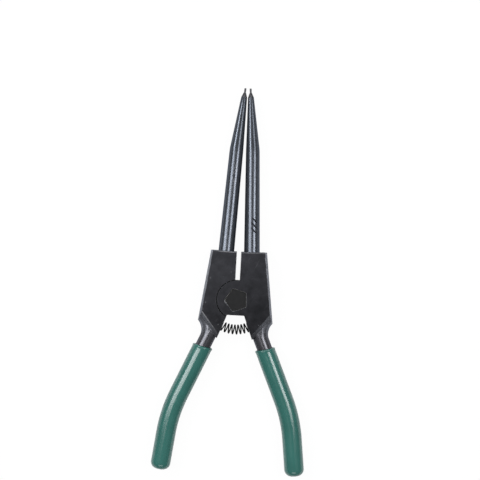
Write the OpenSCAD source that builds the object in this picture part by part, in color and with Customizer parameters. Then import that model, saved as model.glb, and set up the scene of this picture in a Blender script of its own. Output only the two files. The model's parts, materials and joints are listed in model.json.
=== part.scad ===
// Long-nose external circlip pliers.
// Two identical forged halves lap over each other at the pivot, one flipped over the other.
// Squeezing the grips swings the two noses apart, and a coil spring pushes the grips back out.
// Origin: pivot axis on the back face. +X to the right half, +Y to the tips, +Z along the pivot axis.

/* [Body halves] */
// Thickness over the front and back faces
body_t = 13.5; // [13.3:0.1:16]
// Height of the top edge above the pivot axis, beside the slot
top_y = 31.2; // [28:0.2:36]
// Rise of the top edge towards its outer corner, in degrees
top_rise = 1.2; // [0:0.2:3]
// Half of the body's width along the top edge
top_half_w = 18.2; // [17:0.2:22]
// Half of the body's width at the lower corner
corner_half_w = 24.3; // [23:0.2:27]
// Depth of the lower corner below the pivot axis
corner_drop = 14.5; // [13:0.2:16]
// Half of the slot's width above the joint
slot_half_w = 1.4; // [1:0.1:2.4]
// Inset of each face at the outer side, left by the forging draft
side_draft = 1.3; // [0.5:0.1:2]
// Chamfer along the top edge
top_chamfer = 0.6; // [0.2:0.1:1.2]
// Angle between the edge below the joint and the tool's axis
inner_angle = 20.9; // [17:0.1:23]
// Distance from the tool's axis to that edge at its upper end
inner_x = 5.5; // [4.6:0.1:6.5]

/* [Lap joint] */
// Radius of the round lap
lap_r = 12.6; // [11.5:0.1:14]
// Distance from the pivot axis to the flat on the lap
lap_flat = 10; // [9.6:0.1:10.8]
// Gap around the lap
lap_gap = 0.35; // [0.3:0.05:0.6]
// Gap between the two lapping faces
lap_face_gap = 0.1; // [0.05:0.05:0.2]

/* [Milled faces and neck] */
// Depth below the pivot axis where the milled face ends on the outer side
facet_drop = 7; // [5:0.2:9]
// Angle between the end of the milled face and the tool's axis
facet_angle = 38.5; // [35:0.5:42]
// Step down from the milled face to the facet
facet_step = 0.35; // [0.2:0.05:0.6]
// Slope of the facet
facet_slope = 38; // [36:1:46]
// Width of the facet, from the end of the milled face to the neck
facet_w = 2.2; // [2.1:0.1:2.8]
// Radius of the hollow between the lower corner and the handle
neck_arc_r = 9.3; // [8:0.1:11]

/* [Handles] */
// Splay of each handle from the tool's axis
handle_angle = 23.5; // [21:0.5:26]
// Distance from the pivot axis to the handle's centre line
handle_offset = 6; // [5.2:0.1:7]
// Radius of the steel handle
stem_r = 4.9; // [4.2:0.1:5.4]
// Distance along the handle to the start of its bend
bend_start = 72; // [66:1:80]
// Radius of the bend
bend_r = 90; // [70:5:130]
// Turn of the bend back towards the tool's axis
bend_angle = 16.5; // [8:0.5:20]
// Distance from the pivot axis down to the handles' ends
handle_reach = 112.5; // [106:0.5:130]

/* [Grips] */
// Wall of the dipped grip
grip_wall = 1.45; // [1:0.05:1.6]
// Distance along the handle to the grip's mouth
grip_start = 36.6; // [34:0.2:42]
// Height of the rolled rim at the mouth
grip_rim = 0.25; // [0.1:0.05:0.3]
// Slant of the grip's mouth from square across the handle
mouth_slant = 9.5; // [0:0.5:14]
// Length of the grip past the end of the steel
grip_end_wall = 3; // [2:0.5:6]
// Gap between the grip and the steel
grip_fit = 0.02; // [0.01:0.01:0.05]

/* [Noses] */
// Distance from the tool's axis to the nose, at the body's top edge
nose_x = 8.3; // [7.4:0.1:9.4]
// Radius of the nose at the body
nose_r = 5.1; // [4.6:0.1:5.4]
// Radius where the taper begins
nose_mid_r = 4.43; // [4:0.05:4.6]
// Radius where the taper ends
nose_end_r = 1.92; // [1.7:0.02:2.1]
// Length from the body to the taper
nose_shank_len = 66.2; // [50:0.5:80]
// Length of the taper
nose_taper_len = 34.2; // [28:0.2:40]
// Distance from the tool's axis to the nose, where the taper begins
nose_mid_x = 5.3; // [5:0.1:5.6]
// Gap between the two noses at the ends of their tapers
nose_gap = 0.56; // [0.4:0.02:1.2]
// Radius of the spigot in the body
spigot_r = 4; // [3:0.1:4.3]
// Depth of the spigot in the body
spigot_len = 14; // [10:0.5:16]
// Depth of the seat around the spigot
seat_depth = 0.6; // [0.5:0.05:1]
// Gap around the spigot
spigot_fit = 0.02; // [0.01:0.01:0.05]

/* [Tip inserts] */
// Radius of the pin that enters the circlip's eye
pin_r = 0.65; // [0.5:0.05:0.75]
// Length of the pin
pin_len = 3; // [2:0.1:5]
// Chamfer on the pin's end
pin_chamfer = 0.15; // [0.05:0.05:0.25]
// Width of the shoulder around the pin
pin_shoulder = 0.2; // [0.15:0.05:0.4]
// Length of the cone between the nose and the pin
tip_cone_len = 2.9; // [2:0.1:4]
// Radius of the shank that is pressed into the nose
tip_shank_r = 1.2; // [1:0.05:1.3]
// Length of the shank
tip_shank_len = 8; // [5:0.5:12]
// Gap around the shank
tip_fit = 0.01; // [0.005:0.005:0.03]

/* [Pivot] */
// Distance from the centre to the corners of the five-sided bolt head, before they are rounded
head_r = 7.8; // [7.2:0.1:8.2]
// Thickness of the bolt head
head_t = 3; // [2:0.1:3.6]
// Share of the corner distance that the rounding leaves
head_round = 0.955; // [0.92:0.005:1]
// Gap around the bolt head
head_gap = 0.12; // [0.08:0.02:0.3]
// Turn of the bolt head about the pivot axis
head_turn = 183; // [147:1:219]
// Depth of the bolt head and the nut below the faces
pivot_sink = 0.35; // [0.32:0.01:0.6]
// Radius of the bolt's bearing
bearing_r = 5; // [4.6:0.1:5.4]
// Running gap around the bearing
bearing_gap = 0.05; // [0.02:0.01:0.09]
// Radius of the bolt's screwed end
screw_r = 4; // [3:0.1:4.2]
// Radius of the round nut
nut_r = 7; // [6.6:0.1:7.6]
// Thickness of the nut
nut_t = 3; // [2.2:0.1:3.4]
// Chamfer on the nut's outer edge
nut_chamfer = 0.4; // [0.2:0.05:0.6]
// Gap around the nut
nut_gap = 0.3; // [0.25:0.05:0.5]
// Radius of the two spanner holes in the nut
spanner_r = 0.9; // [0.6:0.05:1]
// Depth of the spanner holes
spanner_depth = 1.8; // [1:0.1:2]

/* [Return spring] */
// Distance from the pivot axis to the spring's centre line
spring_arc_r = 19.5; // [18.5:0.1:20.5]
// Outer radius of the coil
coil_r = 3.3; // [2.8:0.1:3.5]
// Thickness of the wire
wire_d = 0.9; // [0.7:0.05:1.1]
// Number of turns
coil_turns = 10.6; // [9:0.1:11.6]
// Turn of the wire's start about the coil's centre line, in degrees
coil_clock = 85; // [0:5:180]
// Depth of the pocket that holds each end
pocket_depth = 3; // [2:0.1:4]
// Gap between the coil and the pocket's wall
pocket_gap = 0.5; // [0.45:0.05:0.8]
// Gap between the coil's end and the pocket's floor
pocket_floor_gap = 0.3; // [0.2:0.05:0.5]

/* [Hidden] */
$fn = 96;

// Colours of the blackened steel, the polished noses, the tips, the pivot, the spring and the grips
body_colour = [0.17, 0.17, 0.18];
nose_colour = [0.20, 0.22, 0.26];
tip_colour = [0.24, 0.23, 0.26];
bolt_colour = [0.15, 0.15, 0.15];
spring_colour = [0.06, 0.06, 0.07];
grip_colour = [0.13, 0.42, 0.33];

// Longer than any half, for cutting blocks
reach = top_y + corner_half_w + handle_reach;
// How far a cutting shape runs past the face that it opens
past = 1;
// How much fuller a bar is in its bend
bend_swell = 0.02;

// Middle of the body's thickness, where the handles, noses and spring lie
mid_z = body_t / 2;

// Corners of the right half, seen from the front
top_inner = [slot_half_w, top_y];
top_outer = [top_half_w, top_edge_y(top_half_w)];
corner = [corner_half_w, -corner_drop];
inner_start = [inner_x, -lap_flat];
inner_run = [sin(inner_angle), -cos(inner_angle)];
facet_start = top_outer + (corner - top_outer) * (top_outer.y + facet_drop) / (top_outer.y - corner.y);

// The hollow of the neck starts at the lower corner and runs out on the handle,
// just below its surface
corner_along = handle_frame(corner);
neck_r = stem_r - 0.06;
flare_r = corner_along.x - handle_offset;
flare_len = sqrt(2 * neck_arc_r * (flare_r - neck_r) - pow(flare_r - neck_r, 2));
neck_end = corner_along.y - flare_len;
neck_hub = [neck_r + neck_arc_r, neck_end];
// The round edge is turned from the handle to a little past the lower corner
neck_turn = acos((neck_hub.x - flare_r) / neck_arc_r) + 18;
// How much thinner the neck's web is than its round edge
web_sink = 0.04;

// The handle's tail runs from the end of the bend to the handle's reach
grip_r = stem_r + grip_wall;
tail_lean = handle_angle - bend_angle;
bend_foot_y = handle_offset * sin(handle_angle) - bend_start * cos(handle_angle);
bend_end_y = bend_foot_y - bend_r * (sin(handle_angle) - sin(tail_lean));
grip_tail = (handle_reach + bend_end_y) / cos(tail_lean);
steel_tail = grip_tail - grip_end_wall;

// The noses lean in until only their gap is left between them
nose_lean = asin((nose_x - nose_mid_x) / nose_shank_len);
taper_lean = asin((nose_mid_x - nose_end_r - nose_gap / 2) / nose_taper_len);

// The spring's centre line is an arc about the pivot axis that meets the edges below the joint
edge_along = -inner_start * inner_run;
edge_angle = let (
        s = edge_along + sqrt(pow(edge_along, 2) + pow(spring_arc_r, 2) - inner_start * inner_start),
        p = inner_start + s * inner_run
    ) atan2(p.x, -p.y);
pocket_r = coil_r + pocket_gap;
coil_half_len = spring_arc_r * edge_angle * PI / 180 + pocket_depth - pocket_floor_gap - wire_d / 2;

// Height of the top edge at a distance x from the tool's axis
function top_edge_y(x) = top_y + (x - slot_half_w) * tan(top_rise);

// A point of the front view, measured outwards from the pivot across and along the handle, and back again
function handle_frame(p) = [
    p.x * cos(handle_angle) + p.y * sin(handle_angle),
    p.y * cos(handle_angle) - p.x * sin(handle_angle)
];
function front_view(p) = [
    p.x * cos(handle_angle) - p.y * sin(handle_angle),
    p.x * sin(handle_angle) + p.y * cos(handle_angle)
];

// Turns a part of the right half over into its place in the left half
module left_side() {
    translate([0, 0, body_t]) rotate([0, 180, 0]) children();
}

// Repeats a cut in the front face on the back face
module both_faces() {
    children();
    translate([0, 0, body_t]) mirror([0, 0, 1]) children();
}

// Z along the handle, towards the pivot, with X outwards
module along_handle() {
    rotate([0, 0, handle_angle]) translate([handle_offset, 0, mid_z]) rotate([-90, 0, 0]) children();
}

// Z along the nose's shank, from the body's top edge, with X outwards
module along_nose() {
    translate([nose_x, top_edge_y(nose_x), mid_z]) rotate([0, 0, nose_lean]) rotate([-90, 0, 0]) children();
}

// Z along the nose's taper, from its start
module along_taper() {
    along_nose() translate([0, 0, nose_shank_len]) rotate([0, nose_lean - taper_lean, 0]) children();
}

// Slanted cut along the edge from p to q, inset on the front face and run out at that depth
module edge_cut(p, q, inset, depth) {
    d = q - p;
    translate([p.x, p.y, body_t - depth])
        rotate([0, 0, atan2(d.y, d.x)])
            rotate([atan(inset / depth), 0, 0])
                translate([-reach, 0, -past]) cube([2 * reach, reach, reach]);
}

// X along the end of the milled face, with Y down the handle
module along_facet(z) {
    translate([facet_start.x, facet_start.y, z]) rotate([0, 0, -90 - facet_angle]) children();
}

// Sloped cut that ends the milled face above the neck
module facet_cut() {
    along_facet(body_t - facet_step)
        rotate([-facet_slope, 0, 0])
            translate([-reach, 0, 0]) cube([2 * reach, reach, reach]);
}

// Front view of a half: the plate, down to the neck, and the round lap with its flat.
// The outer side is left full, for the draft to be cut.
module half_outline() {
    low = neck_end - past;
    inner_end = inner_start
        + inner_run * (low - handle_frame(inner_start).y) / handle_frame(inner_run).y;
    polygon([
        [slot_half_w, 0], inner_start - 2 * past * inner_run, inner_end,
        front_view([corner_along.x + past, low]), corner + [past, 0],
        [top_half_w + past, top_edge_y(top_half_w + past)], top_inner
    ]);
    intersection() {
        circle(lap_r);
        translate([-lap_r, -lap_flat]) square(2 * lap_r);
    }
}

// Square part of a half, down to the sloped end of its milled faces
module plate() {
    difference() {
        intersection() {
            linear_extrude(body_t) half_outline();
            along_facet(-past) translate([-reach, facet_w - reach, 0])
                cube([2 * reach, reach, body_t + 2 * past]);
        }
        both_faces() {
            edge_cut(top_inner, top_outer, top_chamfer, top_chamfer);
            facet_cut();
        }
    }
}

// Neck between the plate and the handle: a round edge follows the hollow, and a web lies behind it
module neck() {
    web_t = 2 * (neck_r - web_sink);
    translate([0, 0, mid_z]) rotate([0, 0, handle_angle]) translate([handle_offset, 0, 0]) {
        translate([0, 0, -web_t / 2]) linear_extrude(web_t) difference() {
            translate([-past / 2, neck_end]) square([flare_r + 3 * past, flare_len + neck_arc_r]);
            translate(neck_hub) circle(neck_hub.x);
        }
        translate(neck_hub) rotate([0, 0, 180 - neck_turn]) rotate_extrude(angle = neck_turn)
            translate([neck_hub.x, 0]) circle(neck_r);
    }
}

// A bar that follows the handle, from a distance along it to the end of its tail.
// The straight ends run a little way into the bend, which is a hair fuller.
module handle_bar(r, start, tail, end_round) {
    along_handle() {
        translate([0, 0, -bend_start - past]) cylinder(r = r, h = bend_start + past - start);
        translate([-bend_r, 0, -bend_start]) {
            rotate([-90, 0, 0]) rotate_extrude(angle = bend_angle)
                translate([bend_r, 0]) circle(r + bend_swell);
            rotate([0, bend_angle, 0]) translate([bend_r, 0, past]) mirror([0, 0, 1])
                round_ended(r, tail + past, end_round);
        }
    }
}

// Round bar along Z with a rounded far end
module round_ended(r, length, end_round) {
    rotate_extrude() {
        square([r, length - end_round]);
        translate([0, length - end_round]) square([r - end_round, end_round]);
        intersection() {
            translate([r - end_round, length - end_round]) circle(end_round);
            translate([r - end_round, length - end_round]) square(end_round);
        }
    }
}

// Forged half before its lap, bores and pockets are cut
module forging() {
    difference() {
        union() {
            plate();
            neck();
        }
        both_faces() edge_cut(top_outer, corner, side_draft, mid_z);
    }
    handle_bar(stem_r, -corner_along.y - 3 * past, steel_tail, stem_r * 0.4);
}

// Bore for the nose's spigot and the seat for its shoulder
module nose_socket() {
    along_nose() rotate_extrude() {
        translate([0, -spigot_len]) square([spigot_r + spigot_fit, spigot_len]);
        translate([0, -seat_depth]) square([nose_r + 2 * spigot_fit, seat_depth + past]);
    }
}

// Blind pocket that holds one end of the spring
module spring_pocket() {
    rotate([0, 0, edge_angle])
        translate([-pocket_r, -spring_arc_r, mid_z])
            rotate([0, 90, 0]) cylinder(r = pocket_r, h = pocket_r + pocket_depth);
}

// Finished half, cut from its front face by the children
module body_half() {
    color(body_colour) difference() {
        forging();
        translate([0, 0, -past]) cylinder(r = lap_r + lap_gap, h = past + mid_z + lap_face_gap / 2);
        translate([0, 0, mid_z - past]) cylinder(r = bearing_r + bearing_gap, h = body_t);
        nose_socket();
        spring_pocket();
        children();
    }
}

// Five-sided bar with rounded corners
module five_sided(r, h) {
    rotate([0, 0, head_turn]) intersection() {
        cylinder(r = r, h = h, $fn = 5);
        cylinder(r = r * head_round, h = h);
    }
}

module right_body() {
    body_half()
        translate([0, 0, body_t - pivot_sink - head_t])
            five_sided(head_r + head_gap, pivot_sink + head_t + past);
}

module left_body() {
    left_side() body_half()
        translate([0, 0, body_t - pivot_sink - nut_t - lap_face_gap])
            cylinder(r = nut_r + nut_gap, h = pivot_sink + nut_t + lap_face_gap + past);
}

// Nose rod: spigot, shank and taper, drilled for its tip insert.
// The shank and the taper are two long cones, and the rod is what they share.
module nose() {
    shank_slope = (nose_r - nose_mid_r) / nose_shank_len;
    taper_slope = (nose_mid_r - nose_end_r) / nose_taper_len;
    shank_end = nose_shank_len + nose_taper_len + past;
    taper_back = nose_shank_len + spigot_len + nose_r;
    color(nose_colour) difference() {
        intersection() {
            along_nose() rotate_extrude() polygon([
                [0, -spigot_len], [spigot_r, -spigot_len], [spigot_r, -seat_depth],
                [nose_r + seat_depth * shank_slope, -seat_depth],
                [nose_r - shank_end * shank_slope, shank_end], [0, shank_end]
            ]);
            along_taper() rotate_extrude() polygon([
                [0, -taper_back], [nose_mid_r + taper_back * taper_slope, -taper_back],
                [nose_end_r, nose_taper_len], [0, nose_taper_len]
            ]);
        }
        along_taper() translate([0, 0, nose_taper_len - tip_shank_len])
            cylinder(r = tip_shank_r + tip_fit, h = tip_shank_len + past);
    }
}

module right_nose() { nose(); }

module left_nose() { left_side() nose(); }

// Hardened tip: a shank pressed into the nose, a cone and the pin
module tip_insert() {
    pin_end = tip_cone_len + pin_len;
    color(tip_colour) along_taper() translate([0, 0, nose_taper_len]) rotate_extrude() polygon([
        [0, -tip_shank_len], [tip_shank_r, -tip_shank_len], [tip_shank_r, 0], [nose_end_r, 0],
        [pin_r + pin_shoulder, tip_cone_len], [pin_r, tip_cone_len], [pin_r, pin_end - pin_chamfer],
        [pin_r - pin_chamfer, pin_end], [0, pin_end]
    ]);
}

module right_tip_insert() { tip_insert(); }

module left_tip_insert() { left_side() tip_insert(); }

// Shouldered bolt: the five-sided head is keyed in the right half, and the left half turns on the bearing
module pivot_bolt() {
    nut_face = pivot_sink + nut_t;
    color(bolt_colour) {
        translate([0, 0, body_t - pivot_sink - head_t]) five_sided(head_r, head_t);
        translate([0, 0, nut_face]) cylinder(r = bearing_r, h = body_t - pivot_sink - head_t - nut_face);
        translate([0, 0, pivot_sink]) cylinder(r = screw_r, h = nut_t);
    }
}

// Round nut with two spanner holes, let into the back of the left half
module pivot_nut() {
    color(bolt_colour) translate([0, 0, pivot_sink]) difference() {
        rotate_extrude() polygon([
            [screw_r, 0], [nut_r - nut_chamfer, 0], [nut_r, nut_chamfer], [nut_r, nut_t], [screw_r, nut_t]
        ]);
        for (side = [-1, 1])
            translate([side * (screw_r + nut_r) / 2, 0, -past])
                cylinder(r = spanner_r, h = past + spanner_depth);
    }
}

// Distance along the spring's centre line after a number of turns, with one closed turn at each end
function coil_travel(turn) =
    let (length = 2 * coil_half_len, closed = wire_d * 1.05)
    turn < 1 ? turn * closed
    : turn > coil_turns - 1 ? length - (coil_turns - turn) * closed
    : closed + (turn - 1) * (length - 2 * closed) / (coil_turns - 2);

// Point of the coil after a number of turns, at a distance r from the spring's centre line
function coil_point(turn, r) =
    let (
        along = (coil_travel(turn) - coil_half_len) / spring_arc_r * 180 / PI,
        around = 360 * turn + coil_clock,
        out = spring_arc_r + r * cos(around)
    )
    [out * sin(along), -out * cos(along), mid_z + r * sin(around)];

// Coil spring: a round wire swept along a helix that bends about the pivot axis
module return_spring() {
    steps_per_turn = 18;
    sides = 8;
    steps = round(coil_turns * steps_per_turn);
    mean_r = coil_r - wire_d / 2;
    small = 0.01;
    points = [
        for (i = [0:steps])
            let (
                turn = coil_turns * i / steps,
                centre = coil_point(turn, mean_r),
                ahead = coil_point(turn + small, mean_r) - coil_point(turn - small, mean_r),
                out = coil_point(turn, mean_r + 1) - centre,
                side = cross(ahead / norm(ahead), out)
            )
            for (k = [0:sides - 1])
                centre + wire_d / 2 * (out * cos(360 * k / sides) + side * sin(360 * k / sides))
    ];
    walls = [
        for (i = [0:steps - 1], k = [0:sides - 1])
            let (a = i * sides, b = a + sides, n = (k + 1) % sides)
            each [[a + k, b + k, b + n], [a + k, b + n, a + n]]
    ];
    ends = [
        [for (k = [0:sides - 1]) k],
        [for (k = [sides - 1:-1:0]) steps * sides + k]
    ];
    color(spring_colour) polyhedron(points, concat(walls, ends));
}

// Z along the handle from the grip's mouth, tilted with the mouth
module at_mouth() {
    along_handle() translate([0, 0, -grip_start]) rotate([0, mouth_slant, 0]) children();
}

// Dipped grip: a closed sleeve with a rolled rim at its slanted mouth
module grip() {
    rim_r = (grip_wall + grip_rim) / 2;
    color(grip_colour) difference() {
        union() {
            difference() {
                handle_bar(grip_r, grip_start - grip_r, grip_tail, grip_r * 0.7);
                at_mouth() translate([-2 * grip_r, -2 * grip_r, -rim_r]) cube(4 * grip_r);
            }
            at_mouth() translate([0, 0, -rim_r]) rotate_extrude()
                translate([stem_r + rim_r, 0]) circle(rim_r);
        }
        handle_bar(stem_r + grip_fit, grip_start - grip_r, steel_tail + grip_fit, stem_r * 0.4);
    }
}

module right_grip() { grip(); }

module left_grip() { left_side() grip(); }

right_body();
left_body();
right_nose();
left_nose();
right_tip_insert();
left_tip_insert();
pivot_bolt();
pivot_nut();
return_spring();
right_grip();
left_grip();
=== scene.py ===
"""Long-nose external circlip pliers, dressed for a studio picture.

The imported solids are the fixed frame. Each sub-assembly below is a class that models its own meshes
over those solids and dresses them, in metres, in the same frame: the pivot axis is Z, the tips point
along +Y and the pliers lie on their back face. Sizes in the classes are in millimetres.
"""

from __future__ import annotations

import json
import logging
import math
import sys
from contextlib import contextmanager
from dataclasses import dataclass
from enum import Enum
from typing import Dict, Iterator, List, Optional, Sequence, Tuple, Union

import bpy
from mathutils import Matrix, Vector

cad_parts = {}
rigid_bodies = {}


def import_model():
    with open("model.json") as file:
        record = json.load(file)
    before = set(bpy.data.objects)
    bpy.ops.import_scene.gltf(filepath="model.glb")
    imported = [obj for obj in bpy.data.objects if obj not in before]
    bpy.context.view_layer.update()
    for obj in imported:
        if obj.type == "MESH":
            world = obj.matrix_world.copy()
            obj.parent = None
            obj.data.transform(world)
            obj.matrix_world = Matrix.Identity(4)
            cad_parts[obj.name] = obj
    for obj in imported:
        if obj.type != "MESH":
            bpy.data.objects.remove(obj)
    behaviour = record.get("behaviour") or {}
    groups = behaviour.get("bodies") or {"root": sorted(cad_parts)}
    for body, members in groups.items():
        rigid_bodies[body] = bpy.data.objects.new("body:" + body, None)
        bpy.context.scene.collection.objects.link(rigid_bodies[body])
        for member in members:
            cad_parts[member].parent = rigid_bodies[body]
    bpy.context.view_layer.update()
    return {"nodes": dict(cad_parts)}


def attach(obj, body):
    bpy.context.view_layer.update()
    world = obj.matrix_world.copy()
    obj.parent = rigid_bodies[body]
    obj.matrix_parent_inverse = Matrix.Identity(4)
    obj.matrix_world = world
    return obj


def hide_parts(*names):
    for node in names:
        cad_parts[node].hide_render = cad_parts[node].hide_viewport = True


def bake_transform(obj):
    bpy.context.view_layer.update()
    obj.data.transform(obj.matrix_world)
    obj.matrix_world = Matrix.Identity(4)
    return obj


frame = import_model()

LOG = logging.getLogger("pliers")
MM = 0.001
BODY_T = 13.5
MID_Z = BODY_T / 2
TURNED_OVER = Matrix.Translation((0, 0, BODY_T * MM)) @ Matrix.Rotation(math.pi, 4, "Y")
Z_ALONG_Y = Matrix.Rotation(-math.pi / 2, 4, "X")

Colour = Tuple[float, float, float]
Point = Tuple[float, float, float]

WHITE: Colour = (1.0, 1.0, 1.0)
COOL_WHITE: Colour = (0.95, 0.98, 1.0)
PIT_BLACK: Colour = (0.006, 0.006, 0.007)


class Side(Enum):
    """The two halves of the pliers, seen from the front."""

    RIGHT = "right"
    LEFT = "left"

    @property
    def body(self) -> str:
        """Name of the CAD body that this half's pieces ride on."""
        return f"{self.value}_half"

    def node(self, piece: str) -> str:
        """Name of this half's CAD node for a piece."""
        return f"{self.value}_{piece}"


class Slot(Enum):
    """Material slots of the part's record."""

    BLACK_STEEL = "black_steel"
    NOSE_STEEL = "nose_steel"
    PIVOT_STEEL = "pivot_steel"
    SPRING_STEEL = "spring_steel"
    GREEN_GRIP = "green_grip"


class Value:
    """A shader value: one output socket, on which Python's operators add Math nodes."""

    def __init__(self, graph: "Graph", socket: bpy.types.NodeSocket) -> None:
        """Wraps an output socket of a node tree."""
        self.graph = graph
        self.socket = socket

    def _math(self, operation: str, first: "Term", second: "Term") -> "Value":
        """Result of one more Math node."""
        return self.graph.add("ShaderNodeMath", {"operation": operation}, {0: first, 1: second})

    def __add__(self, other: "Term") -> "Value":
        """Sum."""
        return self._math("ADD", self, other)

    def __radd__(self, other: "Term") -> "Value":
        """Sum, reflected."""
        return self._math("ADD", other, self)

    def __sub__(self, other: "Term") -> "Value":
        """Difference."""
        return self._math("SUBTRACT", self, other)

    def __rsub__(self, other: "Term") -> "Value":
        """Difference, reflected."""
        return self._math("SUBTRACT", other, self)

    def __mul__(self, other: "Term") -> "Value":
        """Product."""
        return self._math("MULTIPLY", self, other)

    def __rmul__(self, other: "Term") -> "Value":
        """Product, reflected."""
        return self._math("MULTIPLY", other, self)

    def __abs__(self) -> "Value":
        """Size without its sign."""
        return self._math("ABSOLUTE", self, 0.0)

    def __mod__(self, other: "Term") -> "Value":
        """Remainder that never is negative."""
        return self._math("FLOORED_MODULO", self, other)

    def rise(self, low: float, high: float) -> "Value":
        """Smooth step from 0 at low to 1 at high.

        Args:
            low: Value that gives 0.
            high: Value that gives 1. It may lie below low, and then the step falls.

        Returns:
            The stepped value.
        """
        sockets = {0: self, 1: low, 2: high, 3: 0.0, 4: 1.0}
        if low > high:
            sockets = {0: self, 1: high, 2: low, 3: 1.0, 4: 0.0}
        return self.graph.add("ShaderNodeMapRange", {"interpolation_type": "SMOOTHSTEP"}, sockets)


Term = Union[Value, float, int]


class Graph:
    """Node tree of one material, or of the world."""

    def __init__(self, name: str, world: Optional[bpy.types.World] = None) -> None:
        """Starts an empty material, or empties the world's tree.

        Args:
            name: The material's name.
            world: The world, if the tree is the world's.
        """
        self.material = world or bpy.data.materials.new(name)
        self.material.use_nodes = True
        self.tree = self.material.node_tree
        self.tree.nodes.clear()

    def add(
        self,
        kind: str,
        settings: Optional[Dict[str, object]] = None,
        sockets: Optional[Dict[Union[str, int], object]] = None,
        output: Union[str, int] = 0,
    ) -> Value:
        """Adds any node.

        Args:
            kind: The node's type.
            settings: Its properties, which are set first.
            sockets: Values or links of its inputs, by name or number.
            output: Output socket to hand back, by name or number.

        Returns:
            That output.
        """
        made = self.tree.nodes.new(kind)
        for key, setting in (settings or {}).items():
            setattr(made, key, setting)
        for key, given in (sockets or {}).items():
            if isinstance(given, Value):
                self.tree.links.new(given.socket, made.inputs[key])
            else:
                made.inputs[key].default_value = given
        return Value(self, made.outputs[output]) if made.outputs else Value(self, None)

    def place(self, stretch: Point = (1, 1, 1), turn: float = 0.0) -> Value:
        """The piece's own coordinates.

        Args:
            stretch: Scale along X, Y and Z.
            turn: Turn about Z in radians, made before the stretch.

        Returns:
            The mapped coordinates.
        """
        own = self.add("ShaderNodeTexCoord", output="Object")
        kind = {"vector_type": "POINT"}
        turned = self.add("ShaderNodeMapping", kind, {"Vector": own, "Rotation": (0, 0, turn)})
        return self.add("ShaderNodeMapping", kind, {"Vector": turned, "Scale": stretch})

    def axis(self, name: str) -> Value:
        """One of the piece's own coordinates, in millimetres."""
        own = self.add("ShaderNodeTexCoord", output="Object")
        return self.add("ShaderNodeSeparateXYZ", None, {0: own}, name) * (1 / MM)

    def radius(self) -> Value:
        """Distance from the pivot axis, in millimetres."""
        across = self.axis("X")
        along = self.axis("Y")
        square = across * across + along * along + 1e-6
        return self.add("ShaderNodeMath", {"operation": "SQRT"}, {0: square})

    def noise(self, where: Value, scale: float, detail: float = 3.0, rough: float = 0.55) -> Value:
        """Fractal noise around 0.5, with scale features per metre and finer layers of detail."""
        sockets = {"Vector": where, "Scale": scale, "Detail": detail, "Roughness": rough}
        return self.add("ShaderNodeTexNoise", None, sockets)

    def mix(self, share: Term, first: Union[Value, Colour], second: Union[Value, Colour]) -> Value:
        """Mix of two colours.

        Args:
            share: Share of the second colour.
            first: First colour.
            second: Second colour.

        Returns:
            The mixed colour.
        """
        sockets: Dict[Union[str, int], object] = {0: share}
        for number, colour in ((6, first), (7, second)):
            sockets[number] = colour if isinstance(colour, Value) else (*colour, 1.0)
        return self.add("ShaderNodeMix", {"data_type": "RGBA"}, sockets, 2)

    def bump(self, height: Value, depth: float, strength: float = 1.0) -> Value:
        """Normal bent by a height from 0 to 1, with the depth of that range in millimetres."""
        sockets = {"Height": height, "Distance": depth * MM, "Strength": strength}
        return self.add("ShaderNodeBump", None, sockets)

    def finish(self, sockets: Dict[Union[str, int], object]) -> bpy.types.Material:
        """Ends the material with its surface shader.

        Args:
            sockets: Inputs of the Principled shader.

        Returns:
            The material.
        """
        surface = self.add("ShaderNodeBsdfPrincipled", None, sockets)
        self.add("ShaderNodeOutputMaterial", None, {"Surface": surface})
        return self.material


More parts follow.
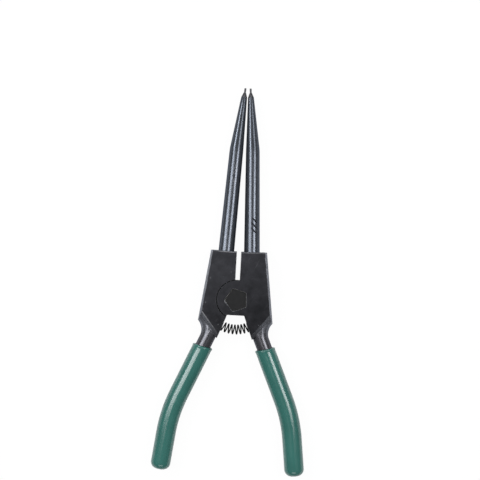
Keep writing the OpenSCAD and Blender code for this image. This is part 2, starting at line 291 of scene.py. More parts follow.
@dataclass(frozen=True)
class ForgedSteel:
    """Blackened forging: satin milled faces, and a smoother skin that is left from the forge."""

    name: str = "blackened_forging"
    milled: Colour = (0.0048, 0.0048, 0.0053)
    # Pale end of the milled faces' random tone, which the painted sheen also pushes towards.
    milled_pale_and_sheen: Colour = (0.0362, 0.036, 0.0405)
    skin: Colour = (0.1, 0.103, 0.116)
    skin_light: Colour = (0.235, 0.243, 0.27)
    stem: Colour = (0.058, 0.056, 0.061)
    # Bare steel of the real specks and rubs, and also the colour of the painted highlight line.
    bare: Colour = (0.17, 0.17, 0.18)
    facet: Tuple[float, float] = (23.25, -7.0)
    facet_angle: float = 38.5

    def _painted_edge_highlight(self, graph: Graph) -> Value:
        """A painted highlight along the end of the left half's milled face, where its edge catches the
        light from the left.

        Args:
            graph: The material's node tree.

        Returns:
            A mask of the painted highlight line.
        """
        lean = math.radians(self.facet_angle)
        out = (graph.axis("X") * -1 - self.facet[0]) * math.cos(lean)
        past = out - (graph.axis("Y") - self.facet[1]) * math.sin(lean)
        fading = graph.axis("Y").rise(-25, -9) * graph.axis("Z").rise(MID_Z, MID_Z + 1)
        return abs(past + 0.1).rise(0.5, 0.2) * fading

    def make(self) -> bpy.types.Material:
        """Builds the material.

        Returns:
            The material.
        """
        graph = Graph(self.name)
        where = graph.place()
        flat = abs(graph.axis("Z") - MID_Z).rise(MID_Z - 0.08, MID_Z - 0.03)
        cloud = graph.noise(where, 170, 4, 0.6)
        grain = graph.noise(where, 2600, 2, 0.6)
        milling = graph.noise(graph.place((4200, 110, 4200)), 1.0, 2, 0.5)
        forge = graph.noise(where, 700, 3, 0.5)
        dots = graph.add("ShaderNodeTexVoronoi", {"feature": "F1"}, {"Vector": where, "Scale": 260})
        specks = dots.rise(0.12, 0.05) * graph.noise(where, 90, 1).rise(0.5, 0.62) * flat
        rubs = graph.noise(graph.place((900, 90, 900), 0.5), 1.0, 2).rise(0.66, 0.8) * flat

        # Painted sheen and shade: the milled faces are made lighter towards the tips and darker towards
        # the right, most near the handles.
        up = graph.axis("Y").rise(-32, 34)
        painted_sheen_and_shade = up * 0.34 - graph.axis("X").rise(-24, 24) * (0.22 - up * 0.12)
        face = graph.mix(cloud * 0.9 + grain * 0.5 + painted_sheen_and_shade - 0.42, self.milled, self.milled_pale_and_sheen)
        skin = graph.mix((cloud * 0.9 + forge * 0.4 - 0.35), self.skin, self.skin_light)
        skin = graph.mix(graph.axis("Y").rise(-15, -25) * 0.8, skin, self.stem)
        colour = graph.mix(flat, skin, face)
        # worn adds the painted highlight line to the real specks and rubs, all mixed towards the bare
        # colour.
        worn = specks * 0.75 + rubs * 0.12 + self._painted_edge_highlight(graph) * 0.8
        colour = graph.mix(worn, colour, self.bare)

        rough = (0.22 + forge * 0.08) * (1 - flat) + (0.36 + grain * 0.14 - rubs * 0.1) * flat
        height = (grain * 0.45 + milling * 0.55) * flat + (forge * 0.1) * (1 - flat) - specks * 0.6
        return graph.finish({
            "Base Color": colour,
            "Metallic": worn * 0.4 + (1 - flat) * 0.45 + 0.3,
            "Roughness": rough,
            "Specular IOR Level": 0.16,
            "Specular Tint": (0.5, 0.52, 0.58, 1.0),
            "Normal": graph.bump(height, 0.03, 0.55),
        })


@dataclass(frozen=True)
class RubbedEdge:
    """Edges of the forging, where handling has rubbed the black thin."""

    name: str = "rubbed_edge"
    black: Colour = (0.035, 0.035, 0.039)
    steel: Colour = (0.2, 0.2, 0.215)
    sheltered_r: Optional[float] = None

    def make(self) -> bpy.types.Material:
        """Builds the material.

        Returns:
            The material.
        """
        graph = Graph(self.name)
        where = graph.place()
        patches = graph.noise(where, 120, 4, 0.65)
        grain = graph.noise(where, 2200, 2)
        worn = (patches + grain * 0.3).rise(0.52, 0.86)
        black: Union[Value, Colour] = self.black
        if self.sheltered_r is not None:
            sheltered = abs(graph.radius() - self.sheltered_r).rise(1.2, 0.6)
            worn = worn * (1 - sheltered * 0.9)
            black = graph.mix(sheltered, self.black, PIT_BLACK)
        return graph.finish({
            "Base Color": graph.mix(worn, black, self.steel),
            "Metallic": worn * 0.45 + 0.45,
            "Roughness": 0.42 - worn * 0.12 + grain * 0.06,
            "Normal": graph.bump(grain, 0.02, 0.4),
        })


@dataclass(frozen=True)
class PolishedRod:
    """Polished and blued rod, drawn along its length, with scuffs and a few nicks."""

    name: str
    lean: float
    nick: Optional[Tuple[float, float]] = None
    scratched: Optional[Tuple[float, float]] = None
    deep: Colour = (0.055, 0.06, 0.07)
    blue: Colour = (0.088, 0.096, 0.111)
    bare: Colour = (0.32, 0.325, 0.335)

    def _nicks(self, graph: Graph) -> Optional[Value]:
        """Three slanted nicks across the rod's front.

        Args:
            graph: The material's node tree.

        Returns:
            A mask of the nicks, or nothing where the rod has none.
        """
        if self.nick is None:
            return None
        across = graph.axis("X") - self.nick[0]
        along = graph.axis("Y") - self.nick[1]
        waver = graph.noise(graph.place(), 700, 2) * 0.9 - 0.45
        spacing = 3.45
        half = 1.72
        strokes = abs((along + across + waver + half) % spacing - half).rise(0.8, 0.4)
        near = abs(across).rise(2.3, 1.5) * abs(along).rise(5.2, 4.6)
        return strokes * near * graph.axis("Z").rise(MID_Z + 1, MID_Z + 2)

    def _scratches(self, graph: Graph) -> Optional[Value]:
        """A patch of fine flecks along the rod's front.

        Args:
            graph: The material's node tree.

        Returns:
            A mask of the flecks, or nothing where the rod has none.
        """
        if self.scratched is None:
            return None
        along = graph.axis("Y") - self.scratched[1]
        across = graph.axis("X") - self.scratched[0] + along * math.tan(self.lean)
        flecks = graph.noise(graph.place((1300, 900, 1300), 0.6), 1.0, 2).rise(0.5, 0.68)
        return flecks * abs(across).rise(1.6, 0.7) * abs(along).rise(14, 8)

    def make(self) -> bpy.types.Material:
        """Builds the material.

        Returns:
            The material.
        """
        graph = Graph(self.name)
        where = graph.place()
        drawn = graph.noise(graph.place((2600, 45, 2600), -self.lean), 1.0, 3, 0.6)
        dapple = graph.noise(graph.place((480, 170, 480), -self.lean), 1.0, 3, 0.55)
        cloud = graph.noise(where, 75, 3)
        scuff = graph.noise(graph.place((1500, 420, 1500), -self.lean + 0.25), 1.0, 2).rise(0.64, 0.74)
        scuff = scuff * graph.noise(where, 60, 1).rise(0.5, 0.6)

        colour = graph.mix(drawn * 0.7 + cloud * 0.5 - 0.2, self.deep, self.blue)
        colour = graph.mix(scuff * 0.4, colour, self.bare)
        rough = 0.18 + dapple * 0.08 + drawn * 0.06
        height = drawn * 0.05 + dapple * 0.1 - scuff * 0.6
        scratches = self._scratches(graph)
        if scratches is not None:
            colour = graph.mix(scratches * 0.35, colour, self.bare)
            rough = rough + scratches * 0.12
            height = height - scratches * 0.6
        nicks = self._nicks(graph)
        if nicks is not None:
            colour = graph.mix(nicks * 0.94, colour, PIT_BLACK)
            rough = rough + nicks * 0.35
            height = height - nicks * 1.6
        return graph.finish({
            "Base Color": colour,
            "Metallic": scuff * 0.2 + 0.78,
            "Roughness": rough,
            "Specular Tint": (0.3, 0.33, 0.4, 1.0),
            "Normal": graph.bump(height, 0.03, 0.22),
        })


@dataclass(frozen=True)
class TurnedSteel:
    """Turned and blackened steel with fine rings about an axis."""

    name: str
    dark: Colour
    light: Colour
    gloss: float = 0.38
    metal: float = 0.5
    shine: float = 0.5
    ring: float = 0.24

    def make(self) -> bpy.types.Material:
        """Builds the material.

        Returns:
            The material.
        """
        graph = Graph(self.name)
        where = graph.place()
        wavering = graph.radius() + graph.noise(where, 300, 2) * 0.08
        groove = abs(wavering % self.ring - self.ring / 2) * 8.0
        cloud = graph.noise(where, 260, 4, 0.6)
        grain = graph.noise(where, 3000, 2)
        colour = graph.mix(cloud * 0.8 + grain * 0.4 - 0.2, self.dark, self.light)
        return graph.finish({
            "Base Color": colour,
            "Metallic": self.metal,
            "Roughness": self.gloss + grain * 0.12 - cloud * 0.05,
            "Specular IOR Level": self.shine,
            "Normal": graph.bump(groove * 0.5 + grain * 0.6, 0.014, 0.5),
        })


@dataclass(frozen=True)
class SpringWire:
    """Blackened spring wire with a trace of oil."""

    name: str = "spring_wire"
    black: Colour = (0.003, 0.003, 0.0033)
    grey: Colour = (0.011, 0.011, 0.012)

    def make(self) -> bpy.types.Material:
        """Builds the material.

        Returns:
            The material.
        """
        graph = Graph(self.name)
        where = graph.place()
        oil = graph.noise(where, 420, 3)
        scale = graph.noise(where, 3200, 2)
        return graph.finish({
            "Base Color": graph.mix(oil * 0.8 + scale * 0.4 - 0.2, self.black, self.grey),
            "Metallic": 0.3,
            "Roughness": 0.34 + oil * 0.2,
            "Specular IOR Level": 0.25,
            "Normal": graph.bump(scale, 0.012, 0.4),
        })


@dataclass(frozen=True)
class DippedVinyl:
    """Glossy dipped vinyl: an even skin with slow runs and a fine orange peel."""

    name: str
    splay: float
    deep: Colour = (0.0125, 0.068, 0.057)
    green: Colour = (0.025, 0.118, 0.0995)
    dust: Colour = (0.1, 0.2, 0.18)

    def make(self) -> bpy.types.Material:
        """Builds the material.

        Returns:
            The material.
        """
        graph = Graph(self.name)
        where = graph.place()
        runs = graph.noise(graph.place((190, 32, 190), -self.splay), 1.0, 2, 0.5)
        peel = graph.noise(where, 620, 2, 0.5)
        cloud = graph.noise(where, 55, 4, 0.6)
        dusty = graph.noise(where, 1500, 3, 0.7).rise(0.6, 0.85) * cloud.rise(0.45, 0.7)
        colour = graph.mix(cloud * 0.8 + runs * 0.45 - 0.15, self.deep, self.green)
        colour = graph.mix(dusty * 0.22, colour, self.dust)
        return graph.finish({
            "Base Color": colour,
            "Roughness": 0.2 + cloud * 0.06 + dusty * 0.1,
            "Coat Weight": 0.14,
            "Coat Roughness": 0.16,
            "IOR": 1.52,
            "Normal": graph.bump(runs * 0.3 + peel * 0.03, 0.05, 0.4),
        })


@dataclass(frozen=True)
class PalePaper:
    """Plain pale paper under the pliers, lit from behind where it is looked at."""

    name: str = "pale_paper"
    low: Colour = (0.7, 0.7, 0.705)
    high: Colour = (0.78, 0.78, 0.78)
    backlight: float = 0.96

    def make(self) -> bpy.types.Material:
        """Builds the material.

        Returns:
            The material.
        """
        graph = Graph(self.name)
        fibre = graph.noise(graph.place(), 260, 3)
        paper = graph.add("ShaderNodeBsdfPrincipled", None, {
            "Base Color": graph.mix(fibre, self.low, self.high),
            "Roughness": 0.9,
            "Specular IOR Level": 0.1,
        })
        glow = graph.add("ShaderNodeEmission", None, {"Color": (*WHITE, 1.0), "Strength": 1.0})
        seen = graph.add("ShaderNodeLightPath", output="Is Camera Ray") * self.backlight
        surface = graph.add("ShaderNodeMixShader", None, {0: seen, 1: paper, 2: glow})
        graph.add("ShaderNodeOutputMaterial", None, {"Surface": surface})
        return graph.material


class Bench:
    """Handling of one object at a time with Blender's operators.

    The joining distances are in metres, and the angles in degrees.
    """

    loose: float = 0.002 * MM
    doubled: float = 0.0005 * MM
    flat_angle: float = 0.4
    sharp_angle: float = 24.0
    round_steps: int = 3
    round_angle: float = 40.0
    face_weight: int = 80

    @staticmethod
    def clear() -> None:
        """Deselects every object."""
        for item in bpy.context.view_layer.objects:
            item.select_set(False)

    @staticmethod
    def take(item: bpy.types.Object) -> None:
        """Makes one object the only selected one, and active."""
        Bench.clear()
        item.select_set(True)
        bpy.context.view_layer.objects.active = item

    @staticmethod
    @contextmanager
    def editing(item: bpy.types.Object) -> Iterator[None]:
        """Edit mode on one object, all selected, for the length of a with block.

        Args:
            item: The object to edit.

        Yields:
            Nothing.
        """
        Bench.take(item)
        bpy.ops.object.mode_set(mode="EDIT")
        bpy.ops.mesh.select_mode(type="FACE")
        bpy.ops.mesh.select_all(action="SELECT")
        yield
        bpy.ops.object.mode_set(mode="OBJECT")

    @staticmethod
    def knit() -> None:
        """Joins the doubled points of the mesh in edit mode, and turns its faces outwards."""
        bpy.ops.mesh.select_all(action="SELECT")
        bpy.ops.mesh.remove_doubles(threshold=Bench.doubled)
        bpy.ops.mesh.normals_make_consistent(inside=False)

    @staticmethod
    def modify(item: bpy.types.Object, kind: str, **settings: object) -> None:
        """Adds a modifier and applies it.

        Args:
            item: The object to modify.
            kind: The modifier's type.
            settings: The modifier's properties.
        """
        Bench.take(item)
        modifier = item.modifiers.new(kind.lower(), kind)
        for key, setting in settings.items():
            setattr(modifier, key, setting)
        bpy.ops.object.modifier_apply(modifier=modifier.name)

    @staticmethod
    def smooth(item: bpy.types.Object, angle: float) -> None:
        """Smooth shading, except across edges sharper than an angle in degrees."""
        Bench.take(item)
        bpy.ops.object.shade_smooth_by_angle(angle=math.radians(angle))

    @staticmethod
    def settle(item: bpy.types.Object, place: Matrix) -> None:
        """Moves an object and puts its place into its mesh.

        Args:
            item: The object.
            place: Its place.
        """
        Bench.take(item)
        item.matrix_world = place
        bpy.ops.object.transform_apply(location=True, rotation=True, scale=True)

    @staticmethod
    def copy(item: bpy.types.Object, name: str) -> bpy.types.Object:
        """A copy with its own mesh.

        Args:
            item: Object to copy.
            name: Name of the copy.

        Returns:
            The copy.
        """
        made = bpy.data.objects.new(name, item.data.copy())
        made.data.name = name
        bpy.context.scene.collection.objects.link(made)
        return made

    @staticmethod
    def dress(item: bpy.types.Object, materials: Sequence[bpy.types.Material]) -> None:
        """Sets an object's material slots, in order."""
        item.data.materials.clear()
        for material in materials:
            item.data.materials.append(material)

    @staticmethod
    def eased_copy(
        node: str, name: str, finishes: Sequence[bpy.types.Material], width: float
    ) -> bpy.types.Object:
        """A copy of a CAD node with its loose triangles joined, its flat faces whole and its edges broken.

        Args:
            node: Name of the CAD node.
            name: Name of the copy.
            finishes: Materials of the faces and the edges.
            width: Width of the broken edges, in millimetres.

        Returns:
            The copy.
        """
        made = Bench.copy(frame["nodes"][node], name)
        with Bench.editing(made):
            bpy.ops.mesh.remove_doubles(threshold=Bench.loose)
            bpy.ops.mesh.customdata_custom_splitnormals_clear()
            bpy.ops.mesh.dissolve_limited(angle_limit=math.radians(Bench.flat_angle), delimit=set())
        Bench.dress(made, finishes)
        Bench.smooth(made, Bench.sharp_angle)
        Bench.modify(
            made, "BEVEL", width=width * MM, segments=Bench.round_steps, limit_method="ANGLE",
            angle_limit=math.radians(Bench.sharp_angle), use_clamp_overlap=False, material=1,
            loop_slide=False)
        Bench.smooth(made, Bench.round_angle)
        Bench.modify(made, "WEIGHTED_NORMAL", mode="FACE_AREA", weight=Bench.face_weight, keep_sharp=True)
        return made

    @staticmethod
    def fit(item: bpy.types.Object, node: str, slot: Slot, body: Optional[str]) -> None:
        """Puts a finished piece in the place of a CAD node.

        Args:
            item: The finished piece.
            node: The node that it stands for.
            slot: The record's slot for its finish. It is not used.
            body: The body that it rides on, or nothing if it bends between two.
        """
        if body is not None:
            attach(item, body)
        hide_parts(node)
        LOG.info("%s: %d faces, for %s", item.name, len(item.data.polygons), node)


class Tube:
    """A round bar grown from its first end face, ring by ring, with the edit-mode operators."""

    def __init__(self, name: str, sides: int, start: Point, radius: float) -> None:
        """Adds the first end face, square to Z.

        Args:
            name: Name of the object.
            sides: Number of sides of each ring.
            start: Centre of the first face, in millimetres.
            radius: Radius of the first face.
        """
        Bench.clear()
        self.centre = Vector(start)
        self.radius = radius
        self.heading = Vector((0, 0, 1))
        bpy.ops.mesh.primitive_circle_add(
            vertices=sides, radius=radius * MM, fill_type="NGON", location=self.centre * MM)
        self.item = bpy.context.object
        self.item.name = name
        bpy.ops.object.transform_apply(location=True, rotation=True, scale=True)

    @contextmanager
    def growing(self) -> Iterator[None]:
        """Edit mode with the end face selected, for the length of a with block.

        Yields:
            Nothing.
        """
        with Bench.editing(self.item):
            yield
            Bench.knit()

    def to(self, length: float, radius: float) -> None:
        """Extrudes the end face along the heading and brings it to a radius.

        Args:
            length: Distance along the heading, which may be zero or negative.
            radius: New radius.
        """
        self.reach(self.centre + self.heading * length, radius)

    def taper(self, length: float, slope: float) -> None:
        """Grows a straight taper in four equal rings.

        Args:
            length: Distance along the heading.
            slope: Radius that is lost per millimetre.
        """
        start = self.radius
        for share in (0.25, 0.5, 0.75, 1.0):
            self.to(length / 4, start - length * share * slope)

    def reach(self, goal: Vector, radius: float) -> None:
        """Extrudes the end face to a centre, without turning it, and brings it to a radius.

        Args:
            goal: New centre of the face, in millimetres.
            radius: New radius.
        """
        step = goal - self.centre
        bpy.ops.mesh.extrude_region_move(TRANSFORM_OT_translate={"value": step * MM})
        self.centre = goal.copy()
        share = radius / self.radius
        if abs(share - 1) > 1e-9:
            bpy.ops.transform.resize(value=(share, share, share), center_override=self.centre * MM)
        self.radius = radius

    def swing(self, degrees: float, about: Point, extrude: bool = True) -> None:
        """Turns the end face about an axis along Y, growing the bar unless told not to.

        Args:
            degrees: Angle. A positive one leads from +Z to +X.
            about: A point of the axis, in millimetres.
            extrude: Whether the turned face is a new ring.
        """
        if extrude:
            bpy.ops.mesh.extrude_region_move(TRANSFORM_OT_translate={"value": (0, 0, 0)})
        bpy.ops.transform.rotate(
            value=-math.radians(degrees), orient_axis="Y", orient_type="GLOBAL",
            center_override=Vector(about) * MM)
        turn = Matrix.Rotation(math.radians(degrees), 3, "Y")
        self.centre = Vector(about) + turn @ (self.centre - Vector(about))
        self.heading = turn @ self.heading


class Twins:
    """A piece that each half has: the right one is modelled, and a copy is turned over for the left."""

    piece: str
    node: str
    slot: Slot
    sides: int

    def place(self) -> Matrix:
        """Place of the right piece."""
        raise NotImplementedError

    def _model(self) -> bpy.types.Object:
        """The right piece in its own frame."""
        raise NotImplementedError

    def _finishes(self) -> List[bpy.types.Material]:
        """Materials of the right and the left piece."""
        raise NotImplementedError

    def _first_face(self, depth: float, radius: float) -> Tube:
        """First end face of the right piece, at a depth along its own Z."""
        return Tube(Side.RIGHT.node(self.piece), self.sides, (0, 0, -depth), radius)

    def build(self) -> None:
        """Models one piece, copies it and dresses both."""
        right = self._model()
        Bench.settle(right, self.place())
        left = Bench.copy(right, Side.LEFT.node(self.piece))
        Bench.settle(left, TURNED_OVER)
        for side, item, finish in zip(Side, (right, left), self._finishes()):
            Bench.dress(item, [finish])
            Bench.fit(item, side.node(self.node), self.slot, side.body)


@dataclass
class BodyHalves:
    """The two forged halves: plate, lap, neck and the bare handle in the grip."""

    edge_round: float = 0.2
    steel: ForgedSteel = ForgedSteel()
    edge: RubbedEdge = RubbedEdge(sheltered_r=12.8)

    def build(self) -> None:
        """Models and dresses both halves."""
        finishes = [self.steel.make(), self.edge.make()]
        for side in Side:
            node = side.node("body")
            item = Bench.eased_copy(node, side.node("plate_and_handle"), finishes, self.edge_round)
            Bench.fit(item, node, Slot.BLACK_STEEL, side.body)


@dataclass
class Noses(Twins):
    """The two nose rods: spigot, shank, taper and the bore for the tip."""

    piece: str = "nose_rod"
    node: str = "nose"
    slot: Slot = Slot.NOSE_STEEL
    base_x: float = 8.3
    base_y: float = 31.2 + 6.9 * math.tan(math.radians(1.2))
    mid_x: float = 5.3
    base_r: float = 5.1
    mid_r: float = 4.43
    end_r: float = 1.92
    shank: float = 66.2
    taper: float = 34.2
    gap: float = 0.56
    spigot_r: float = 4.0
    spigot: float = 14.0
    lead_in: float = 0.4
    seat: float = 0.6
    blend: float = 2.0
    blend_steps: int = 8
    bore_r: float = 1.21
    bore: float = 8.0
    edge: float = 0.12
    sides: int = 96
    crease: float = 30.0
    nick: Tuple[float, float] = (8.75, 48.7)
    scratched: Tuple[float, float] = (-5.9, 79.0)

    @property
    def lean(self) -> float:
        """Lean of the shank, in degrees."""
        return math.degrees(math.asin((self.base_x - self.mid_x) / self.shank))

    @property
    def taper_lean(self) -> float:
        """Lean of the taper, in degrees."""
        return math.degrees(math.asin((self.mid_x - self.end_r - self.gap / 2) / self.taper))

    def place(self) -> Matrix:
        """Place of the right nose, with its own Z along the shank."""
        start = Matrix.Translation(Vector((self.base_x, self.base_y, MID_Z)) * MM)
        return start @ Matrix.Rotation(math.radians(self.lean), 4, "Z") @ Z_ALONG_Y

    def _finishes(self) -> List[bpy.types.Material]:
        """Materials of the nicked right rod and the scratched left one.

        Returns:
            The two materials.
        """
        lean = math.radians(self.lean)
        right = PolishedRod(Side.RIGHT.node("polished_rod"), lean, nick=self.nick)
        left = PolishedRod(Side.LEFT.node("polished_rod"), -lean, scratched=self.scratched)
        return [right.make(), left.make()]

    def _model(self) -> bpy.types.Object:
        """The right rod in its own frame.

        Returns:
            The rod, not yet in its place.
        """
        shank_slope = (self.base_r - self.mid_r) / self.shank
        taper_slope = (self.mid_r - self.end_r) / self.taper
        tube = self._first_face(self.spigot, self.spigot_r - self.lead_in)
        with tube.growing():
            tube.to(self.lead_in, self.spigot_r)
            tube.to(self.spigot - self.seat - self.lead_in, self.spigot_r)
            tube.to(0, self.base_r + self.seat * shank_slope)
            tube.to(self.seat, self.base_r)
            tube.taper(self.shank - self.blend, shank_slope)
            self._ease(tube, shank_slope, taper_slope)
            tube.taper(self.taper - self.blend - self.edge, taper_slope)
            tube.to(self.edge * 0.6, self.end_r - 0.02)
            tube.to(self.edge * 0.4, self.end_r - self.edge)
            tube.to(0, self.bore_r)
            tube.to(-self.bore, self.bore_r)
        Bench.smooth(tube.item, self.crease)
        return tube.item

    def _ease(self, tube: Tube, first: float, second: float) -> None:
        """Eases the shank into the taper over a few rings.

        Args:
            tube: The rod, grown to the start of the ease.
            first: Slope of the shank's side.
            second: Slope of the taper's side.
        """
        length = 2 * self.blend / self.blend_steps
        turn = (self.lean - self.taper_lean) / self.blend_steps
        for number in range(self.blend_steps):
            share = (number + 0.5) / self.blend_steps
            radius = tube.radius - length * (first + (second - first) * share)
            tube.to(length / 2, tube.radius)
            tube.swing(turn, tuple(tube.centre), extrude=False)
            tube.to(length / 2, radius)


@dataclass
class TipInserts(Twins):
    """The two hardened tips: shank, cone and pin."""

    noses: Noses
    piece: str = "tip_pin_and_cone"
    node: str = "tip_insert"
    slot: Slot = Slot.NOSE_STEEL
    shank_r: float = 1.2
    shank: float = 8.0
    lead_in: float = 0.2
    cone: float = 2.9
    pin_r: float = 0.65
    pin: float = 3.0
    shoulder: float = 0.2
    chamfer: float = 0.15
    sides: int = 64
    crease: float = 32.0
    steel: TurnedSteel = TurnedSteel("tip_steel", (0.03, 0.03, 0.033), (0.075, 0.074, 0.08), 0.34, 0.6)

    def place(self) -> Matrix:
        """Place of the right tip, with its own Z along the pin.

        Returns:
            The place.
        """
        turn = math.radians(self.noses.lean - self.noses.taper_lean)
        rise = Matrix.Translation((0, 0, self.noses.shank * MM))
        along = Matrix.Translation((0, 0, self.noses.taper * MM))
        return self.noses.place() @ rise @ Matrix.Rotation(turn, 4, "Y") @ along

    def _finishes(self) -> List[bpy.types.Material]:
        """One steel for both tips."""
        return [self.steel.make()] * len(Side)

    def _model(self) -> bpy.types.Object:
        """The right tip in its own frame, with a tiny round at each of its edges.

        Returns:
            The tip, not yet in its place.
        """
        base = self.noses.end_r
        foot = self.pin_r + self.shoulder
        slope = (base - foot) / self.cone
        steps = (
            (self.lead_in, self.shank_r),
            (self.shank - self.lead_in, self.shank_r),
            (0, base - 0.12),
            (0.05, base - 0.03),
            (0.1, base - 0.15 * slope),
            (self.cone - 0.23, foot + 0.08 * slope),
            (0.05, foot - 0.02),
            (0.03, foot - 0.08),
            (0, self.pin_r + 0.04),
            (0.02, self.pin_r + 0.01),
            (0.04, self.pin_r),
            (self.pin - self.chamfer - 0.06, self.pin_r),
            (self.chamfer * 0.35, self.pin_r - self.chamfer * 0.12),
            (self.chamfer * 0.65, self.pin_r - self.chamfer),
        )
        tube = self._first_face(self.shank, self.shank_r - self.lead_in)
        with tube.growing():
            for length, radius in steps:
                tube.to(length, radius)
        Bench.smooth(tube.item, self.crease)
        return tube.item


@dataclass
class Pivot:
    """The bolt with its flush five-sided head, and the round nut in the back."""

    bolt_round: float = 0.16
    nut_round: float = 0.1
    bolt: TurnedSteel = TurnedSteel(
        "bolt_steel", (0.006, 0.006, 0.0062), (0.019, 0.019, 0.0192), 0.4, 0.3, 0.14)
    nut: TurnedSteel = TurnedSteel("nut_steel", (0.03, 0.03, 0.032), (0.07, 0.07, 0.073), 0.34, 0.55)
    edge: RubbedEdge = RubbedEdge("rubbed_pivot_edge", (0.05, 0.048, 0.045), (0.24, 0.225, 0.2))

    def build(self) -> None:
        """Models and dresses the bolt and the nut."""
        edge = self.edge.make()
        for node, name, steel, width in (
            ("pivot_bolt", "flush_bolt", self.bolt, self.bolt_round),
            ("pivot_nut", "round_nut", self.nut, self.nut_round),
        ):
            item = Bench.eased_copy(node, name, [steel.make(), edge], width)
            Bench.fit(item, node, Slot.PIVOT_STEEL, Side.RIGHT.body)


@dataclass
class ReturnSpring:
    """The open coil between the halves, bent about the pivot axis."""

    arc_r: float = 19.5
    coil_r: float = 3.3
    wire: float = 0.9
    turns: float = 10.6
    clock: float = 85.0
    half_length: float = 10.935
    closed_pitch: float = 1.05
    steps_per_turn: int = 40
    wire_steps: int = 5
    crease: float = 50.0
    hold_x: float = 12.5

    def build(self) -> None:
        """Models and dresses the spring."""
        item = self._coil()
        Bench.dress(item, [SpringWire().make()])
        Bench.smooth(item, self.crease)
        Bench.fit(item, "return_spring", Slot.SPRING_STEEL, None)
        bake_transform(item)

    def _travel(self, turn: float) -> float:
        """Distance along the coil, which has a closed turn at each end.

        Args:
            turn: Number of turns from the left end.

        Returns:
            The distance, in millimetres.
        """
        length = 2 * self.half_length
        closed = self.wire * self.closed_pitch
        if turn < 1:
            return turn * closed
        if turn > self.turns - 1:
            return length - (self.turns - turn) * closed
        return closed + (turn - 1) * (length - 2 * closed) / (self.turns - 2)

    def _point(self, turn: float) -> Vector:
        """A point of the wire's centre line.

        Args:
            turn: Number of turns from the left end.

        Returns:
            The point, in metres.
        """
        along = (self._travel(turn) - self.half_length) / self.arc_r
        around = 2 * math.pi * turn + math.radians(self.clock)
        reach = self.coil_r - self.wire / 2
        out = self.arc_r + reach * math.cos(around)
        rise = MID_Z + reach * math.sin(around)
        return Vector((out * math.sin(along), -out * math.cos(along), rise)) * MM

    def _coil(self) -> bpy.types.Object:
        """Sweeps the round wire along its centre line.

        Returns:
            The coil as a mesh.
        """
        steps = round(self.turns * self.steps_per_turn)
        curve = bpy.data.curves.new("return_coil", "CURVE")
        curve.dimensions = "3D"
        curve.bevel_depth = self.wire / 2 * MM
        curve.bevel_resolution = self.wire_steps
        curve.use_fill_caps = True
        line = curve.splines.new("POLY")
        line.points.add(steps)
        for number, point in enumerate(line.points):
            point.co = (*self._point(self.turns * number / steps), 1.0)
        item = bpy.data.objects.new("return_coil", curve)
        bpy.context.scene.collection.objects.link(item)
        Bench.take(item)
        bpy.ops.object.convert(target="MESH")
        item = bpy.context.object
        with Bench.editing(item):
            Bench.knit()
        return item


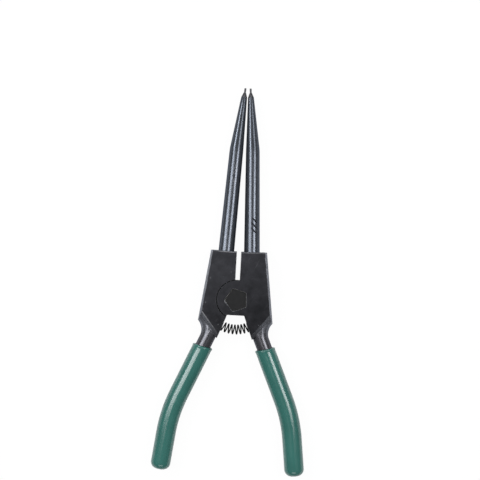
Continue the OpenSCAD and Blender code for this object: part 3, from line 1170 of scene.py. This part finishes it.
@dataclass
class Grips(Twins):
    """The two dipped grips: closed sleeves with a rolled rim at a slanted mouth."""

    piece: str = "dipped_grip"
    node: str = "grip"
    slot: Slot = Slot.GREEN_GRIP
    handle_angle: float = 23.5
    handle_offset: float = 6.0
    stem_r: float = 4.9
    wall: float = 1.45
    rim: float = 0.25
    start: float = 36.6
    mouth: float = 3.2
    slant: float = 9.5
    bend_start: float = 72.0
    bend_r: float = 90.0
    bend: float = 16.5
    tail: float = 24.12
    end_wall: float = 3.0
    end_flat: float = 0.6
    bore_play: float = 0.1
    bore_end: float = 0.6
    bore_steps: int = 10
    bend_steps: int = 16
    roll_steps: int = 12
    end_steps: int = 10
    sides: int = 80
    crease: float = 60.0

    def place(self) -> Matrix:
        """Place of the right grip, with its own Z along the handle towards the pivot.

        Returns:
            The place.
        """
        across = Matrix.Translation((self.handle_offset * MM, 0, MID_Z * MM))
        splay = Matrix.Rotation(math.radians(self.handle_angle), 4, "Z")
        return splay @ across @ Z_ALONG_Y

    def _finishes(self) -> List[bpy.types.Material]:
        """Vinyl that runs along each grip."""
        splays = zip(Side, (math.radians(self.handle_angle), -math.radians(self.handle_angle)))
        return [DippedVinyl(side.node("dipped_vinyl"), splay).make() for side, splay in splays]

    def _model(self) -> bpy.types.Object:
        """The right grip in its own frame, from the end of its bore round the rim to its closed end.

        Returns:
            The grip, not yet in its place.
        """
        outer = self.stem_r + self.wall
        bore = self.stem_r + self.bore_play
        turn = Matrix.Rotation(math.radians(self.bend), 3, "Y")
        hub = Vector((-self.bend_r, 0, -self.bend_start))
        foot = hub + turn @ Vector((self.bend_r, 0, -(self.tail - self.end_wall)))
        tube = self._first_face(0, bore - self.bore_end)
        with tube.growing():
            tube.swing(self.bend, (0, 0, 0), extrude=False)
            bpy.ops.transform.translate(value=foot * MM)
            tube.centre = foot.copy()
            tube.to(0.25, bore - 0.15)
            tube.to(0.35, bore)
            tube.to(self.tail - self.end_wall - self.bore_end, bore)
            for _ in range(self.bore_steps):
                tube.swing(-self.bend / self.bore_steps, tuple(hub))
            tube.to(-self.start - self.mouth - tube.centre.z, bore)
            self._rim(tube, bore, outer)
            tube.heading = Vector((0, 0, -1))
            tube.to(tube.centre.z + self.bend_start, outer)
            for _ in range(self.bend_steps):
                tube.swing(self.bend / self.bend_steps, tuple(hub))
            self._end(tube, outer)
        Bench.smooth(tube.item, self.crease)
        return tube.item

    def _rim(self, tube: Tube, bore: float, outer: float) -> None:
        """Rolls the rim over from the bore to the outside, on the mouth's slant.

        Args:
            tube: The grip, grown up its bore to just below the mouth.
            bore: Radius of the bore.
            outer: Radius of the sleeve.
        """
        roll = (self.wall + self.rim) / 2
        middle = self.stem_r + roll
        inner = middle - bore
        tube.to(self.mouth - roll, bore + 0.06)
        tube.swing(self.slant, tuple(tube.centre), extrude=False)
        hub = tube.centre.copy()
        along = tube.heading.copy()
        for number in range(1, self.roll_steps + 3):
            angle = math.pi * (number / self.roll_steps)
            reach = inner if number < self.roll_steps / 2 else roll
            goal = hub + along * (roll * math.sin(angle))
            tube.to((goal - tube.centre).dot(along), middle - reach * math.cos(angle))
        for drop, swell, turn in ((1.0, 0.08, 0), (1.6, 0.03, 0), (2.9, 0, 1), (4.4, 0, 1), (6.0, 0, 1)):
            tube.reach(Vector((0, 0, hub.z - drop)), outer + swell)
            tube.swing(-self.slant * turn / 3, tuple(tube.centre), extrude=False)

    def _end(self, tube: Tube, outer: float) -> None:
        """Closes the far end with a round.

        Args:
            tube: The grip, grown to the end of its bend.
            outer: Radius of the sleeve.
        """
        swell = outer * 0.7
        tube.to(self.tail - swell, outer)
        last = 0.0
        for number in range(1, self.end_steps + 1):
            angle = math.pi / 2 * number / self.end_steps
            rise = swell * math.sin(angle)
            tube.to(rise - last, outer - swell * (1 - math.cos(angle)))
            last = rise
        tube.to(0, self.end_flat)


@dataclass(frozen=True)
class SoftBox:
    """A rectangular soft light that is aimed at a point."""

    name: str
    stand: Point
    aim: Point
    size: Tuple[float, float]
    power: float
    tint: Colour = WHITE

    def build(self) -> None:
        """Hangs the light."""
        data = bpy.data.lights.new(self.name, "AREA")
        data.shape = "RECTANGLE"
        data.size, data.size_y = self.size
        data.energy = self.power
        data.color = self.tint
        lamp = bpy.data.objects.new(self.name, data)
        bpy.context.scene.collection.objects.link(lamp)
        lamp.location = self.stand
        lamp.rotation_euler = (Vector(self.aim) - Vector(self.stand)).to_track_quat("-Z", "Y").to_euler()
        lamp.visible_camera = False


@dataclass
class Studio:
    """Pale floor, soft light, and a camera that looks straight down on the pliers."""

    view_width: float = 312.0
    view_centre: Tuple[float, float] = (0.17, 38.76)
    view_turn: float = 3.15
    lens: float = 100.0
    sensor: float = 36.0
    nearest: float = 0.01
    floor_size: float = 6.0
    floor_drop: float = 0.0002
    floor_cuts: int = 7
    world_light: float = 0.24
    world_tint: Colour = (0.95, 0.97, 1.0)
    backdrop: float = 0.985
    lights: Tuple[SoftBox, ...] = (
        SoftBox("left_near_strip", (-0.8, 0.03, 0.9), (0, 0.03, 0), (0.14, 0.36), 1.25, COOL_WHITE),
        SoftBox("left_mid_strip", (-0.8, 0.21, 0.9), (0, 0.21, 0), (0.22, 0.36), 2.8, COOL_WHITE),
        SoftBox("left_far_strip", (-0.8, 0.53, 0.9), (0, 0.53, 0), (0.42, 0.36), 6.4, COOL_WHITE),
        SoftBox("right_strip", (0.68, 0.41, 0.9), (0, 0.41, 0), (0.68, 0.3), 3.8, COOL_WHITE),
        SoftBox("left_grip_box", (-0.36, 0.0, 0.9), (-0.052, -0.15, 0), (0.2, 0.42), 2.5),
        SoftBox("right_grip_box", (0.56, 0.06, 0.9), (0.03, -0.13, 0), (0.24, 0.46), 3.3),
        SoftBox("far_fill", (0, 1.35, 1.1), (0, 0.05, 0), (1.2, 0.6), 9.0),
        SoftBox("near_fill", (0, -1.3, 1.1), (0, 0, 0), (1.2, 0.6), 6.0),
    )

    def build(self) -> None:
        """Lays the floor, hangs the lights and sets the camera."""
        self._floor()
        for light in self.lights:
            light.build()
            LOG.info("light %s", light.name)
        self._world()
        self._camera()

    def _floor(self) -> None:
        """Lays the pale floor just under the pliers."""
        Bench.clear()
        bpy.ops.mesh.primitive_plane_add(size=self.floor_size, location=(0, 0, -self.floor_drop))
        floor = bpy.context.object
        floor.name = "floor"
        bpy.ops.object.transform_apply(location=True, rotation=True, scale=True)
        with Bench.editing(floor):
            bpy.ops.mesh.subdivide(number_cuts=self.floor_cuts)
        Bench.dress(floor, [PalePaper().make()])
        LOG.info("floor: %d faces", len(floor.data.polygons))

    def _world(self) -> None:
        """Sets the even light of the room, and a backdrop as pale as the floor."""
        world = bpy.data.worlds.new("studio")
        graph = Graph(world.name, world)
        room = {"Color": (*self.world_tint, 1.0), "Strength": self.world_light}
        backdrop = {"Color": (*WHITE, 1.0), "Strength": self.backdrop}
        surface = graph.add("ShaderNodeMixShader", None, {
            0: graph.add("ShaderNodeLightPath", output="Is Camera Ray"),
            1: graph.add("ShaderNodeBackground", None, room),
            2: graph.add("ShaderNodeBackground", None, backdrop),
        })
        graph.add("ShaderNodeOutputWorld", None, {"Surface": surface})
        bpy.context.scene.world = world
        bpy.context.scene.view_settings.view_transform = "Standard"

    def _camera(self) -> None:
        """Sets the camera square above the pliers, turned as the picture is."""
        data = bpy.data.cameras.new("camera")
        data.lens = self.lens
        data.sensor_width = self.sensor
        data.clip_start = self.nearest
        camera = bpy.data.objects.new("camera", data)
        bpy.context.scene.collection.objects.link(camera)
        height = self.view_width * self.lens / self.sensor + MID_Z
        camera.location = Vector((*self.view_centre, height)) * MM
        camera.rotation_euler = (0, 0, math.radians(self.view_turn))
        bpy.context.scene.camera = camera


def main() -> None:
    """Builds the studio and every sub-assembly, in order."""
    logging.basicConfig(level=logging.INFO, format="%(name)s %(message)s", stream=sys.stdout)
    Bench.clear()
    Studio().build()
    noses = Noses()
    BodyHalves().build()
    noses.build()
    TipInserts(noses).build()
    Pivot().build()
    ReturnSpring().build()
    Grips().build()


if __name__ == "__main__":
    main()
